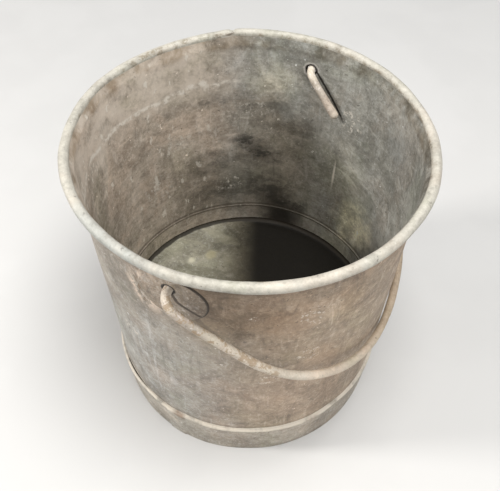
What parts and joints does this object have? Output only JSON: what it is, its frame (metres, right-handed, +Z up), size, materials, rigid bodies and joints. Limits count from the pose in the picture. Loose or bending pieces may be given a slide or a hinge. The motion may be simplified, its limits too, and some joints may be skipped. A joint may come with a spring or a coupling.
{
  "type": "florist bucket",
  "caption": "Tapered galvanised steel bucket for cut flowers, with a wired rim, inset bottom, foot hoop and a swinging wire bail hooked through holes in the wall.",
  "frame": {"origin": "centre of the foot, on the ground", "axes": "+Z up along the bucket's axis; the bail's hinge axis is parallel to Y; the bail hangs on the +X side at rest"},
  "size_m": [0.26, 0.2774, 0.25],
  "materials": {
    "wall_zinc": "weathered dull galvanised sheet, taupe grey with paler bloom",
    "rim_wire_steel": "dull galvanised wire inside the rolled rim",
    "bottom_zinc": "stained dark olive-grey galvanised sheet",
    "hoop_zinc": "weathered galvanised band with a paler rolled edge",
    "ear_zinc": "galvanised plate with streaky solder at its edge",
    "bail_zinc": "pale worn galvanised wire"
  },
  "bodies": {
    "bucket": {"body_shell": "wall_zinc", "rim_wire": "rim_wire_steel", "bottom_pan": "bottom_zinc", "foot_hoop": "hoop_zinc", "ear_plate_front": "ear_zinc", "ear_plate_back": "ear_zinc"},
    "bail": {"bail": "bail_zinc"}
  },
  "joints": [
    {"name": "bail_swing", "type": "hinge", "parent": "bucket", "child": "bail", "pos_m": [0, 0, 0.2238], "axis": [0, -1, 0], "range_deg": [0, 269]}
  ]
}
